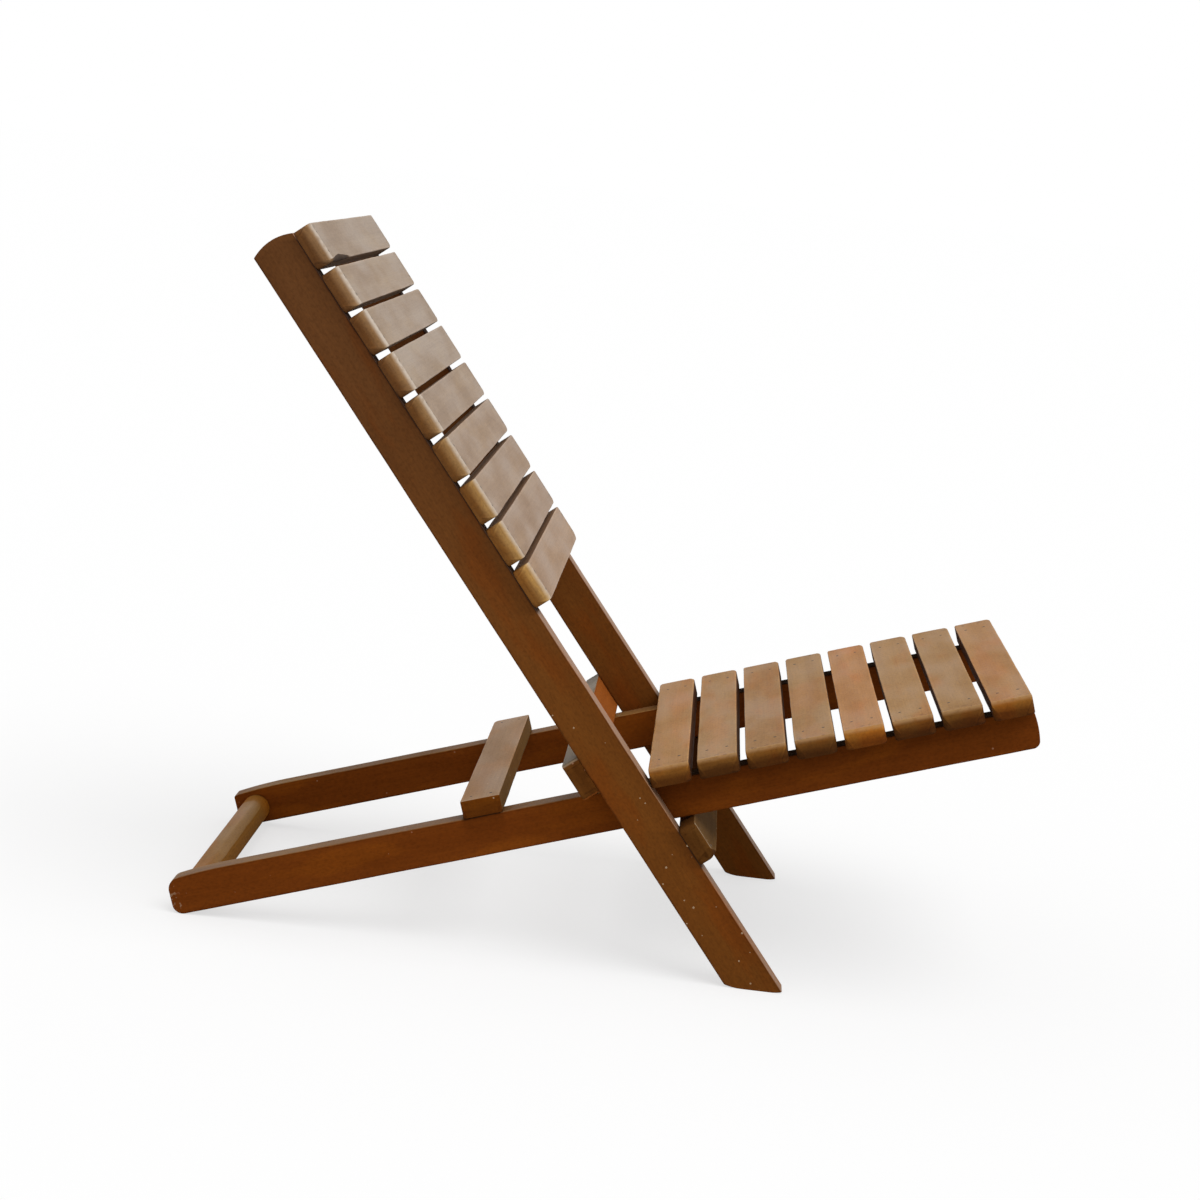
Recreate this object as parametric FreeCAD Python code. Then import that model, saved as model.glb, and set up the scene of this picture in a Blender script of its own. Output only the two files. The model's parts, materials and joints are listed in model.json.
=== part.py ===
"""Interlocking slatted deck chair: a back frame and a seat frame that pass through each other.

The back frame is two stiles with slats on their front edges, and two cross bars that leave a
slot between them. The two rails of the seat frame pass through that slot, between the stiles.
Under load the rails jam against the upper bar behind and the lower bar in front.

Millimetres, +Z up, the floor is Z = 0. The sitter faces -Y and the chair is symmetric about X = 0.
The origin is at the centre of the footprint.
"""
import FreeCAD
import Part

import math
import os

# Angles of the two frames to the floor
BACK_ANGLE = 51.5
SEAT_ANGLE = 18.2

# Back frame: upright planks
STILE_LENGTH = 980.0
STILE_WIDTH = 50.0
STILE_THICKNESS = 25.0
STILE_CROWN = 6.0
STILE_ARRIS = 1.5
TOE_RISE = 2.0
TOE_LENGTH = 14.0
FOOT_HEEL_RISE = 3.0
FOOT_HEEL_LENGTH = 16.0

# Slats, which are all as long as the chair is wide
CHAIR_WIDTH = 460.0
SLAT_THICKNESS = 20.0
SLAT_ARRIS = 1.5
SLAT_CORNER = 6.0
SLAT_END_RUN = 10.0
SLAT_END_DROP = 14.0
BACK_SLAT_COUNT = 9
BACK_SLAT_WIDTH = 46.8
BACK_SLAT_GAP = 6.6
SEAT_SLAT_COUNT = 8
SEAT_SLAT_WIDTH = 44.8
SEAT_SLAT_GAP = 9.0

# Cross bars of the back frame
BAR_WIDTH = 46.0
BAR_END_ROUND = 2.0

# Seat frame: long rails, the stop slat and the handle
RAIL_HEIGHT = 45.0
RAIL_THICKNESS = 25.0
RAIL_TAIL = 538.0
RAIL_ARRIS = 1.5
RAIL_HEEL_RADIUS = 12.0
RAIL_TIP_RADIUS = 8.0
RAIL_TAPER_LENGTH = 70.0
RAIL_TAPER_DROP = 4.0
RAIL_NOSE_BULGE = 2.5
RAIL_NOSE_RADIUS = 7.0
RAIL_NOSE_LEAD = 2.0
STOP_SLAT_WIDTH = 44.8
STOP_SLAT_SETBACK = 150.0
STOP_SLAT_CORNER = 2.0
HANDLE_DIAMETER = 34.0
HANDLE_FLAT = 2.0
HANDLE_SETBACK = 25.0
HANDLE_TENON_DIAMETER = 20.0
HANDLE_TENON_LENGTH = 15.0

# Clearances
SIDE_CLEARANCE = 4.0
LOCK_CLEARANCE = 0.3
TENON_CLEARANCE = 0.2

# Nails
NAIL_DIAMETER = 3.0
NAIL_LENGTH = 45.0
NAIL_POINT = 5.0
NAIL_SIDES = 8
NAIL_PITCH_SHARE = 0.5
NAIL_TO_RAIL_FACE = 8.0


def sin(angle):
    return math.sin(math.radians(angle))


def cos(angle):
    return math.cos(math.radians(angle))


# Angle between the rails and the square across the stiles
CROSSING_SKEW = 90.0 - BACK_ANGLE - SEAT_ANGLE

# Height of the crossing, where mid-rail meets mid-stile, set by the rail heels standing on the floor
CROSSING_HEIGHT = (
    RAIL_HEEL_RADIUS
    + (RAIL_TAIL - RAIL_HEEL_RADIUS) * sin(SEAT_ANGLE)
    + (RAIL_HEIGHT / 2 - RAIL_HEEL_RADIUS) * cos(SEAT_ANGLE)
)
CROSSING_ALONG_STILE = (CROSSING_HEIGHT + STILE_WIDTH / 2 * cos(BACK_ANGLE)) / sin(BACK_ANGLE)

# Distance of each bar from the crossing, measured along the stile, so that the rails just jam
BAR_OFFSET = (
    RAIL_HEIGHT / 2 + LOCK_CLEARANCE + (STILE_WIDTH / 2 + SLAT_THICKNESS) * sin(CROSSING_SKEW)
) / cos(CROSSING_SKEW)

# The first seat slat starts where its lower rear edge meets the front edges of the stiles
FIRST_SEAT_SLAT = (
    STILE_WIDTH / 2 + LOCK_CLEARANCE - RAIL_HEIGHT / 2 * sin(CROSSING_SKEW)
) / cos(CROSSING_SKEW)
SEAT_DEPTH = SEAT_SLAT_COUNT * SEAT_SLAT_WIDTH + (SEAT_SLAT_COUNT - 1) * SEAT_SLAT_GAP
RAIL_NOSE = FIRST_SEAT_SLAT + SEAT_DEPTH + RAIL_NOSE_LEAD

STILE_CENTRE_X = (CHAIR_WIDTH - STILE_THICKNESS) / 2
RAIL_OUTER_X = CHAIR_WIDTH / 2 - STILE_THICKNESS - SIDE_CLEARANCE
RAIL_CENTRE_X = RAIL_OUTER_X - RAIL_THICKNESS / 2
RAIL_INNER_X = RAIL_OUTER_X - RAIL_THICKNESS
RAIL_NAIL_X = RAIL_INNER_X + NAIL_TO_RAIL_FACE

SIDES = {"left": 1, "right": -1}


def back_frame_placement():
    """From the back frame's own axes, Z along the stile and -Y out of its front edge.

    The local origin is the point of the front edge line that would touch the floor.
    """
    turn = FreeCAD.Rotation(FreeCAD.Vector(1, 0, 0), BACK_ANGLE - 90.0)
    return FreeCAD.Placement(FreeCAD.Vector(0, 0, 0), turn)


def seat_frame_placement():
    """From the seat frame's own axes, -Y forward along the rail and Z square to it.

    The local origin is the crossing, at mid-height of the rails.
    """
    crossing = FreeCAD.Vector(0, STILE_WIDTH / 2, CROSSING_ALONG_STILE)
    turn = FreeCAD.Rotation(FreeCAD.Vector(1, 0, 0), -SEAT_ANGLE)
    return FreeCAD.Placement(back_frame_placement().multVec(crossing), turn)


def profile_prism(edges, centre_x, thickness):
    """Extrude a closed side profile, drawn in the YZ plane, to a plank centred on centre_x."""
    face = Part.Face(Part.Wire(edges))
    face.translate(FreeCAD.Vector(centre_x - thickness / 2, 0, 0))
    return face.extrude(FreeCAD.Vector(thickness, 0, 0))


def point(y, z):
    return FreeCAD.Vector(0, y, z)


def line(start, end):
    return Part.LineSegment(start, end).toShape()


def arc(start, middle, end):
    return Part.Arc(start, middle, end).toShape()


def round_corner(solid, corner, radius):
    """Round the corner of a plank's profile that lies at this point of the YZ plane."""
    edges = []
    for edge in solid.Edges:
        middle = edge.BoundBox.Center
        if math.hypot(middle.y - corner.y, middle.z - corner.z) < 0.001:
            edges.append(edge)
    return solid.makeFillet(radius, edges)


def break_side_edges(solid, centre_x, thickness, arris):
    """Take off the sharp edges of a plank, where its profile meets its two flat sides."""
    edges = []
    for edge in solid.Edges:
        box = edge.BoundBox
        flat = box.XLength < 0.001
        on_side = abs(abs(box.Center.x - centre_x) - thickness / 2) < 0.001
        if flat and on_side:
            edges.append(edge)
    return solid.makeChamfer(arris, edges)


def stile(side):
    """An upright plank: domed top, and a foot cut level with the floor and eased at both ends."""
    slope = cos(BACK_ANGLE) / sin(BACK_ANGLE)

    def on_floor(back, rise):
        return point(back, back * slope + rise / sin(BACK_ANGLE))

    floor_run = STILE_WIDTH / sin(BACK_ANGLE)
    toe_share = TOE_LENGTH / floor_run
    heel_share = FOOT_HEEL_LENGTH / floor_run
    toe = on_floor(0, TOE_RISE)
    toe_mid = on_floor(STILE_WIDTH * toe_share / 2, TOE_RISE / 4)
    toe_end = on_floor(STILE_WIDTH * toe_share, 0)
    heel_start = on_floor(STILE_WIDTH * (1 - heel_share), 0)
    heel_mid = on_floor(STILE_WIDTH * (1 - heel_share / 2), FOOT_HEEL_RISE / 4)
    heel = on_floor(STILE_WIDTH, FOOT_HEEL_RISE)
    top_rear = point(STILE_WIDTH, STILE_LENGTH)
    crown = point(STILE_WIDTH / 2, STILE_LENGTH + STILE_CROWN)
    top_front = point(0, STILE_LENGTH)

    outline = [
        arc(toe, toe_mid, toe_end),
        line(toe_end, heel_start),
        arc(heel_start, heel_mid, heel),
        line(heel, top_rear),
        arc(top_rear, crown, top_front),
        line(top_front, toe),
    ]
    centre_x = SIDES[side] * STILE_CENTRE_X
    plank = profile_prism(outline, centre_x, STILE_THICKNESS)
    plank = break_side_edges(plank, centre_x, STILE_THICKNESS, STILE_ARRIS)
    plank.Placement = back_frame_placement()
    return plank


def rail(side):
    """A seat rail: bulged nose, level run, and a tail that tapers to a rounded heel."""
    top = RAIL_HEIGHT / 2
    bottom = -RAIL_HEIGHT / 2
    taper_radius = RAIL_TAPER_LENGTH**2 / (2 * RAIL_TAPER_DROP) + RAIL_TAPER_DROP / 2
    half_turn = math.asin(RAIL_TAPER_LENGTH / taper_radius) / 2
    taper_mid = point(
        RAIL_TAIL - RAIL_TAPER_LENGTH + taper_radius * math.sin(half_turn),
        top - taper_radius * (1 - math.cos(half_turn)),
    )

    taper_start = point(RAIL_TAIL - RAIL_TAPER_LENGTH, top)
    tail_top = point(RAIL_TAIL, top - RAIL_TAPER_DROP)
    tail_bottom = point(RAIL_TAIL, bottom)
    nose_bottom = point(RAIL_NOSE_BULGE - RAIL_NOSE, bottom)
    nose_middle = point(-RAIL_NOSE, 0)
    nose_top = point(RAIL_NOSE_BULGE - RAIL_NOSE, top)
    outline = [
        line(nose_bottom, tail_bottom),
        line(tail_bottom, tail_top),
        arc(tail_top, taper_mid, taper_start),
        line(taper_start, nose_top),
        arc(nose_top, nose_middle, nose_bottom),
    ]
    centre_x = SIDES[side] * RAIL_CENTRE_X
    plank = profile_prism(outline, centre_x, RAIL_THICKNESS)
    plank = round_corner(plank, tail_bottom, RAIL_HEEL_RADIUS)
    plank = round_corner(plank, tail_top, RAIL_TIP_RADIUS)
    plank = round_corner(plank, nose_bottom, RAIL_NOSE_RADIUS)
    plank = break_side_edges(plank, centre_x, RAIL_THICKNESS, RAIL_ARRIS)
    plank = plank.cut(handle_tenons(TENON_CLEARANCE))
    plank.Placement = seat_frame_placement()
    return plank


def handle_centre():
    """Centre of the handle in the seat frame's own axes, midway up the tapered tail."""
    return point(RAIL_TAIL - HANDLE_SETBACK, -RAIL_TAPER_DROP / 2)


def cylinder_along_x(radius, half_length):
    base = handle_centre().add(FreeCAD.Vector(-half_length, 0, 0))
    return Part.makeCylinder(radius, 2 * half_length, base, FreeCAD.Vector(1, 0, 0))


def handle_tenons(clearance):
    """The round tenons at both ends of the handle, or with a clearance the sockets for them."""
    return cylinder_along_x(
        HANDLE_TENON_DIAMETER / 2 + clearance, RAIL_INNER_X + HANDLE_TENON_LENGTH + clearance
    )


def handle():
    """The thick dowel that ties the tails of the rails, worn flat on top, with a tenon at each end."""
    radius = HANDLE_DIAMETER / 2
    bar = cylinder_along_x(radius, RAIL_INNER_X)
    worn = Part.makeBox(
        2 * RAIL_INNER_X,
        HANDLE_DIAMETER,
        HANDLE_DIAMETER,
        handle_centre().add(FreeCAD.Vector(-RAIL_INNER_X, -radius, radius - HANDLE_FLAT)),
    )
    bar = bar.cut(worn).fuse(handle_tenons(0)).removeSplitter()
    bar.Placement = seat_frame_placement()
    return bar


def slat_profile(length, end_run, end_drop):
    """Side profile of a slat in the XZ plane, its ends falling away from a crease in the top face."""
    half = length / 2
    shoulder = SLAT_THICKNESS - end_drop
    radius = (end_run**2 + end_drop**2) / (2 * end_run)
    half_turn = math.asin(end_drop / radius) / 2
    mid_in = radius * (1 - math.cos(half_turn))
    mid_up = shoulder + radius * math.sin(half_turn)

    def spot(x, z):
        return FreeCAD.Vector(x, 0, z)

    return [
        line(spot(-half, 0), spot(half, 0)),
        line(spot(half, 0), spot(half, shoulder)),
        arc(spot(half, shoulder), spot(half - mid_in, mid_up), spot(half - end_run, SLAT_THICKNESS)),
        line(spot(half - end_run, SLAT_THICKNESS), spot(end_run - half, SLAT_THICKNESS)),
        arc(spot(end_run - half, SLAT_THICKNESS), spot(mid_in - half, mid_up), spot(-half, shoulder)),
        line(spot(-half, shoulder), spot(-half, 0)),
    ]


def slat(length, width, corner, end_run, end_drop):
    """A slat lying on Z = 0, long in X: sharp edges taken off, round corners, ends rounded over on top."""
    blank = Part.makeBox(length, width, SLAT_THICKNESS, FreeCAD.Vector(-length / 2, -width / 2, 0))
    upright = []
    long_edges = []
    for edge in blank.Edges:
        box = edge.BoundBox
        if box.ZLength > SLAT_THICKNESS / 2:
            upright.append(edge)
        if box.XLength > length / 2 and box.Center.z > SLAT_THICKNESS / 2:
            long_edges.append(edge)
    round_cornered = blank.makeFillet(corner, upright)
    eased = blank.makeChamfer(SLAT_ARRIS, long_edges)

    face = Part.Face(Part.Wire(slat_profile(length, end_run, end_drop)))
    face.translate(FreeCAD.Vector(0, -width / 2, 0))
    round_ended = face.extrude(FreeCAD.Vector(0, width, 0))
    return round_ended.common(eased).common(round_cornered).removeSplitter()


def on_stile_front(along):
    """Placement of a slat whose middle lies at this height along the front edges of the stiles."""
    turn = FreeCAD.Rotation(FreeCAD.Vector(1, 0, 0), 90)
    local = FreeCAD.Placement(FreeCAD.Vector(0, 0, along), turn)
    return back_frame_placement().multiply(local)


def on_stile_rear(along):
    """Placement of a slat whose middle lies at this height along the rear edges of the stiles."""
    turn = FreeCAD.Rotation(FreeCAD.Vector(1, 0, 0), -90)
    local = FreeCAD.Placement(FreeCAD.Vector(0, STILE_WIDTH, along), turn)
    return back_frame_placement().multiply(local)


def on_rail_top(forward):
    """Placement of a slat whose middle lies this far forward of the crossing, on the rails."""
    local = FreeCAD.Placement(FreeCAD.Vector(0, -forward, RAIL_HEIGHT / 2), FreeCAD.Rotation())
    return seat_frame_placement().multiply(local)


def back_slat_height(index):
    """Middle of a back slat along the stile; the first slat ends level with the stile's shoulder."""
    pitch = BACK_SLAT_WIDTH + BACK_SLAT_GAP
    return STILE_LENGTH - BACK_SLAT_WIDTH / 2 - index * pitch


def seat_slat_forward(index):
    """Middle of a seat slat, forward of the crossing; the first slat is next to the back."""
    pitch = SEAT_SLAT_WIDTH + SEAT_SLAT_GAP
    return FIRST_SEAT_SLAT + SEAT_SLAT_WIDTH / 2 + index * pitch


def rear_bar_placement():
    return on_stile_rear(CROSSING_ALONG_STILE + BAR_OFFSET + BAR_WIDTH / 2)


def front_bar_placement():
    return on_stile_front(CROSSING_ALONG_STILE - BAR_OFFSET - BAR_WIDTH / 2)


def stop_slat_placement():
    return on_rail_top(-(STOP_SLAT_SETBACK + STOP_SLAT_WIDTH / 2))


def nail():
    """One nail, point down, with its head level with the face at Z = 0."""
    shank_length = NAIL_LENGTH - NAIL_POINT
    rim = []
    for step in range(NAIL_SIDES):
        turn = 360.0 * step / NAIL_SIDES
        rim.append(FreeCAD.Vector(cos(turn), sin(turn), 0) * (NAIL_DIAMETER / 2))
    rim.append(rim[0])
    section = Part.makePolygon(rim)
    shank = Part.Face(section).extrude(FreeCAD.Vector(0, 0, -shank_length))

    shoulder = section.translated(FreeCAD.Vector(0, 0, -shank_length))
    tip = Part.makeLoft([shoulder, Part.Vertex(0, 0, -NAIL_LENGTH)], True)
    return shank.fuse(tip)


def slat_nails(placement, width, centre_x):
    """The four nails of one slat, two into the plank under each end."""
    nails = []
    for side_x in (-centre_x, centre_x):
        for step in (-width, width):
            pin = nail()
            spot = FreeCAD.Vector(side_x, step * NAIL_PITCH_SHARE / 2, SLAT_THICKNESS)
            pin.Placement = placement.multiply(FreeCAD.Placement(spot, FreeCAD.Rotation()))
            nails.append(pin)
    return nails


def back_frame_nodes():
    nodes = {}
    for side in SIDES:
        nodes["back_stile_" + side] = stile(side)

    slat_pins = []
    for index in range(BACK_SLAT_COUNT):
        placement = on_stile_front(back_slat_height(index))
        piece = slat(CHAIR_WIDTH, BACK_SLAT_WIDTH, SLAT_CORNER, SLAT_END_RUN, SLAT_END_DROP)
        piece.Placement = placement
        nodes["back_slat_%d" % (index + 1)] = piece
        slat_pins += slat_nails(placement, BACK_SLAT_WIDTH, STILE_CENTRE_X)
    nodes["back_slat_nails"] = Part.makeCompound(slat_pins)

    bar_pins = []
    for name, placement in (("rear", rear_bar_placement()), ("front", front_bar_placement())):
        piece = slat(CHAIR_WIDTH, BAR_WIDTH, SLAT_CORNER, BAR_END_ROUND, BAR_END_ROUND)
        piece.Placement = placement
        nodes[name + "_cross_bar"] = piece
        bar_pins += slat_nails(placement, BAR_WIDTH, STILE_CENTRE_X)
    nodes["cross_bar_nails"] = Part.makeCompound(bar_pins)
    return nodes


def seat_frame_nodes():
    nodes = {}
    for side in SIDES:
        nodes["seat_rail_" + side] = rail(side)

    slat_pins = []
    for index in range(SEAT_SLAT_COUNT):
        placement = on_rail_top(seat_slat_forward(index))
        piece = slat(CHAIR_WIDTH, SEAT_SLAT_WIDTH, SLAT_CORNER, SLAT_END_RUN, SLAT_END_DROP)
        piece.Placement = placement
        nodes["seat_slat_%d" % (index + 1)] = piece
        slat_pins += slat_nails(placement, SEAT_SLAT_WIDTH, RAIL_NAIL_X)
    nodes["seat_slat_nails"] = Part.makeCompound(slat_pins)

    placement = stop_slat_placement()
    length = 2 * RAIL_OUTER_X
    piece = slat(length, STOP_SLAT_WIDTH, STOP_SLAT_CORNER, BAR_END_ROUND, BAR_END_ROUND)
    piece.Placement = placement
    nodes["stop_slat"] = piece
    nodes["stop_slat_nails"] = Part.makeCompound(slat_nails(placement, STOP_SLAT_WIDTH, RAIL_NAIL_X))
    nodes["carry_handle"] = handle()
    return nodes


def centre_on_footprint(nodes):
    """Move everything so that the origin is at the middle of the whole chair's box, on the floor."""
    box = Part.makeCompound(list(nodes.values())).optimalBoundingBox()
    shift = FreeCAD.Vector(0, -box.Center.y, 0)
    for shape in nodes.values():
        shape.translate(shift)


def main():
    nodes = back_frame_nodes()
    nodes.update(seat_frame_nodes())
    centre_on_footprint(nodes)
    os.makedirs("parts", exist_ok=True)
    for name, shape in nodes.items():
        shape.exportStep("parts/%s.step" % name)


main()
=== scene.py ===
"""Looks of the interlocking slatted deck chair.

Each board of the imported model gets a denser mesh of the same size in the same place, with
rounded ends, uneven edges and an aged varnish. Metres, +Z up, the sitter faces -Y.
"""
import json
import math

import bpy
from mathutils import Matrix, Vector, noise


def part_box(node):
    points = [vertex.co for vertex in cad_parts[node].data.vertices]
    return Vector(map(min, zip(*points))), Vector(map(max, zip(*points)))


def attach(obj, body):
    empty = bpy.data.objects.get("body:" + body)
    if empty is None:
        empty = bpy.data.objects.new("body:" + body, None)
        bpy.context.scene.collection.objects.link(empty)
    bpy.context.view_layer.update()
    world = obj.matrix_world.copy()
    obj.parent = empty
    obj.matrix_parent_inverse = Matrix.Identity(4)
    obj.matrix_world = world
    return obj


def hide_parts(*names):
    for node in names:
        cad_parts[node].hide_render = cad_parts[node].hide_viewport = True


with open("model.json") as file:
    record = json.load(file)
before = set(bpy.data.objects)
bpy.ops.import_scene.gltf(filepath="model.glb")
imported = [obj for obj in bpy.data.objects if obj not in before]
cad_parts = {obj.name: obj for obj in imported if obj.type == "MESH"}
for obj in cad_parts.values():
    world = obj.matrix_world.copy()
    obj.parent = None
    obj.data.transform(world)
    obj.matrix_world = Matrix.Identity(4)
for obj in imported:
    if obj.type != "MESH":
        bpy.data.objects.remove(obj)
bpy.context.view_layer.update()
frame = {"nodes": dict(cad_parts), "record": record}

MM = 0.001
NODES = frame["nodes"]
BACK_SLATS = ["back_slat_%d" % number for number in range(1, 10)]
SEAT_SLATS = ["seat_slat_%d" % number for number in range(1, 9)]

# Camera, fitted to the photograph: turns in degrees, focal length and picture in pixels
CAMERA_PLACE = Vector((-2.804, -0.067, 0.882))
CAMERA_HEADING = 1.97
CAMERA_PITCH = -10.29
CAMERA_ROLL = -6.16
CAMERA_FOCAL_PIXELS = 2441
PICTURE_PIXELS = 1200
SENSOR = 36.0

# Light and floor
WORLD_STRENGTH = 0.55
SHOWN_WORLD_STRENGTH = 1.0
LAMP_STRENGTH = 1.65
LAMP_SPREAD = math.radians(50)
LIGHT_DIRECTION = Vector((0.35, 0.45, -1.2))
FLOOR_REACH = 60.0
FLOOR_COLOUR = (0.6, 0.6, 0.6, 1)
SHOWN_FLOOR_COLOUR = (0.97, 0.97, 0.97, 1)
SHOWN_FLOOR_GLOW = 0.65
WHITE = (1, 1, 1, 1)

# Shapes of the boards, as in the model
TOE_RISE = 2.0 * MM
TOE_LENGTH = 14.0 * MM
FOOT_HEEL_RISE = 3.0 * MM
FOOT_HEEL_LENGTH = 16.0 * MM
STILE_CROWN = 6.0 * MM
SLAT_END_RUN = 10.0 * MM
SLAT_END_DROP = 14.0 * MM
BAR_CORNER = 6.0 * MM
STOP_CORNER = 2.0 * MM
BAR_END_ROUND = 2.0 * MM
NOSE_BULGE = 2.5 * MM
NOSE_RADIUS = 7.0 * MM
HEEL_RADIUS = 12.0 * MM
TAPER_LENGTH = 70.0 * MM
TAPER_DROP = 4.0 * MM
HANDLE_RADIUS = 17.0 * MM
HANDLE_FLAT = 2.0 * MM
TENON_RADIUS = 10.0 * MM
NAIL_RADIUS = 1.5 * MM
NAIL_LENGTH = 45.0 * MM
NAIL_POINT = 5.0 * MM
NAIL_TIP_RADIUS = 0.05 * MM
NAIL_TO_RAIL_FACE = 8.0 * MM
NAIL_PITCH_SHARE = 0.5

# Worn ends of the slats: start is the end near the camera, low the lower or front edge
BACK_CORNERS = {
    "start_low": 7.0 * MM,
    "start_high": 6.0 * MM,
    "end_low": 21.0 * MM,
    "end_high": 11.0 * MM,
}
SEAT_CORNERS = {
    "start_low": 8.0 * MM,
    "start_high": 6.0 * MM,
    "end_low": 16.0 * MM,
    "end_high": 11.0 * MM,
}
BACK_FAR_RUN = 7.5 * MM
BACK_FAR_SHORT = 2.0 * MM
SEAT_FAR_RUN = 5.5 * MM
END_ARCH = 1.2 * MM
FAR_ARCH_SHARE = 0.7
RUN_VARIES = 0.2
DROP_VARIES = 0.1
CORNER_VARIES = 0.4

# Other ends, and damage seen in the photograph
STOP_FAR_CORNER = 9.0 * MM
NEAR_TIP_RADIUS = 12.0 * MM
FAR_TIP_RADIUS = 3.0 * MM
TOP_SLAT_CHIP = 4.8 * MM
TOP_SLAT_CHIP_PLACE = 58.0 * MM
TOP_SLAT_CHIP_REACH = 72.0 * MM
TOP_SLAT_CHIP_WAVE = 25.0 * MM
TOP_SLAT_CHIP_GRIME = 0.75
BROKEN_DEPTH = 2.0 * MM
BAR_KNOCK = 7.0 * MM
BAR_KNOCK_REACH = 25.0 * MM

# Long edges: how far they are rounded and out of line, and over what lengths that changes
ARRIS = 0.9 * MM
PLANK_EDGE_WEAR = 0.6 * MM
SLAT_EDGE_WEAR = 0.8 * MM
BAR_EDGE_WEAR = 0.9 * MM
USUAL_WEAR_SHARE = 0.4
LONG_WEAR = 60.0 * MM
SHORT_WEAR = 17.0 * MM
PLANK_EDGE_WAVE = 0.25 * MM
SLAT_EDGE_WAVE = 0.35 * MM
EDGE_WAVE_LENGTH = 90.0 * MM
ROUND_LIMIT_SHARE = 0.45

# The handle: where hands wore it flat and pale, how uneven it is, and the painted shade where it meets
# the rails
HANDLE_WORN_MIDDLE = math.radians(95)
HANDLE_WORN_HALF = math.radians(57)
HANDLE_WORN_HALF_VARIES = 0.12
HANDLE_WORN_BLUR = 0.12
HANDLE_WORN_FADE = 55.0 * MM
HANDLE_FLAT_WAVE = 0.3 * MM
HANDLE_UNEVEN = 0.012
HANDLE_CONTACT_SHADE = 0.9
HANDLE_CONTACT_SHADE_REACH = 2.0 * MM

# Nail heads: their size as a share of the shank, and how far they stand proud
HEAD_SHARE = 1.15
HEAD_VARIES = 0.35
HEAD_RISE = 0.15 * MM

# How far worn paleness and its painted crease highlight, painted shade and dirt spread, and how far the
# boards differ in colour
WEAR_REACH = 1.6 * MM
CREASE_SHARE = 0.7
CREASE_FALL = 1.35
# SEAM_SHADE is painted shade on a side, darkest next to the boards that lie on its edge
SEAM_SHADE = 0.4
SEAM_SHADE_REACH = 13.0 * MM
DIRT_REACH = 22.0 * MM
GREYING_START = 0.12
BACK_WARM_FROM = 3
BACK_WARM_SLATS = 5
# How pale the end creases are on each slat, partly rubbed and partly a painted highlight
BACK_MOST_RUBBED_AND_HIGHLIGHTED = 2
BACK_RUBBED_AND_HIGHLIGHTED_FALL = 0.06
SEAT_RUBBED_AND_HIGHLIGHTED = 0.5
SEAT_WARMTH = {"seat_slat_1": 0.35, "seat_slat_3": 0.25, "seat_slat_5": 1.0, "seat_slat_8": 0.5}

# How thickly specks of paint lie, 0 to 1
SLAT_SPECKS = 0.05
BAR_SPECKS = 0.3
HANDLE_SPECKS = 0.1
NEAR_STILE_SPECKS = 0.75
STILE_SPECKS_MIDDLE = 0.4
STILE_SPECKS_FALL = 2.2
RAIL_SPECKS = 0.25
RAIL_TAIL = 50.0 * MM
NEAR_TAIL_SPECKS = 1.0
FAR_TAIL_SPECKS = 0.4

# Tints of the varnish: factors for red, green and blue
GREYED = (0.85, 1.05, 2.4)
END_STREAK = (0.66, 0.6, 0.52)
DARK_FIGURE = (0.74, 0.68, 0.62)
PALE_FIGURE = (1.12, 1.14, 1.16)
DARK_FIBRE = (0.6, 0.55, 0.5)
DARK_BLOTCH = (0.72, 0.68, 0.62)
DARK_SPECKLE = (0.72, 0.7, 0.66)
PALE_SPECKLE = (1.2, 1.16, 1.0)
RUBBED_PALE = (1.25, 1.28, 1.35)
PAINTED_EDGE_SHADE = (0.62, 0.58, 0.55)
DIRT = (0.5, 0.46, 0.42)
# Darkens dirt in broken edges, and paints shade under carried boards and where the handle meets the
# rails
GRIME_AND_SHADE = (0.16, 0.14, 0.14)
TONE_VARIES = 0.15

# Relief of the varnish, and the paint on it
RELIEF_DEPTH = 0.5 * MM
RELIEF_STRENGTH = 0.3
CREAM_PAINT = (0.52, 0.37, 0.23, 1)
REDDISH_PAINT = (0.34, 0.15, 0.08, 1)
PAINT_COVER = 0.75
CHIP_COVER = 0.45
PAINT_CELLS_PER_METRE = 95.0
PAINTED_CELLS = 0.8

# How finely the meshes follow the shapes
CREASE_STEP = 1.2 * MM
COLUMN_STEP = 5.0 * MM
CURVE_STEPS = 9
CURVE_MARGIN = 3.0 * MM
SAME_PLACE = 0.01 * MM
ARC_POINTS = 5
FACE_ROWS = 10
EDGE_ROWS = 4
HANDLE_SIDES = 48
HANDLE_STEPS = 96
NAIL_SIDES = 12
SMOOTH_ANGLE = math.radians(35)

# Long edges of a board, in the order in which a section goes round it
HIGH_TOP, LOW_TOP, LOW_BOTTOM, HIGH_BOTTOM = range(4)

# Which way the weathered surface of a board faces, as an angle from +Y towards +Z
PALE_HIGH_EDGE = 0.0
PALE_TOP = math.pi / 2
PALE_LOW_EDGE = math.pi


def mount_axis(name):
    """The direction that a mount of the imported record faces."""
    for mount in frame["record"]["mounts"]:
        if mount["name"] == name:
            return Vector(mount["axis"]).normalized()
    raise KeyError(name)


WIDE = Vector((1, 0, 0))
BACK_FRONT = mount_axis("back_face")
SEAT_UP = mount_axis("seat_face")
STILE_UP = BACK_FRONT.cross(WIDE)
RAIL_REAR = SEAT_UP.cross(WIDE)


def mix(a, b, share):
    return a + (b - a) * share


def fade(x):
    """Smooth step from 0 to 1."""
    x = min(max(x, 0.0), 1.0)
    return x * x * (3 - 2 * x)


def wander(along, seed, wavelength):
    """Smooth random value near -1 to 1 along a board, always the same for one seed."""
    return noise.noise(Vector((along / wavelength, seed * 7.31, seed * 3.17)))


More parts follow.
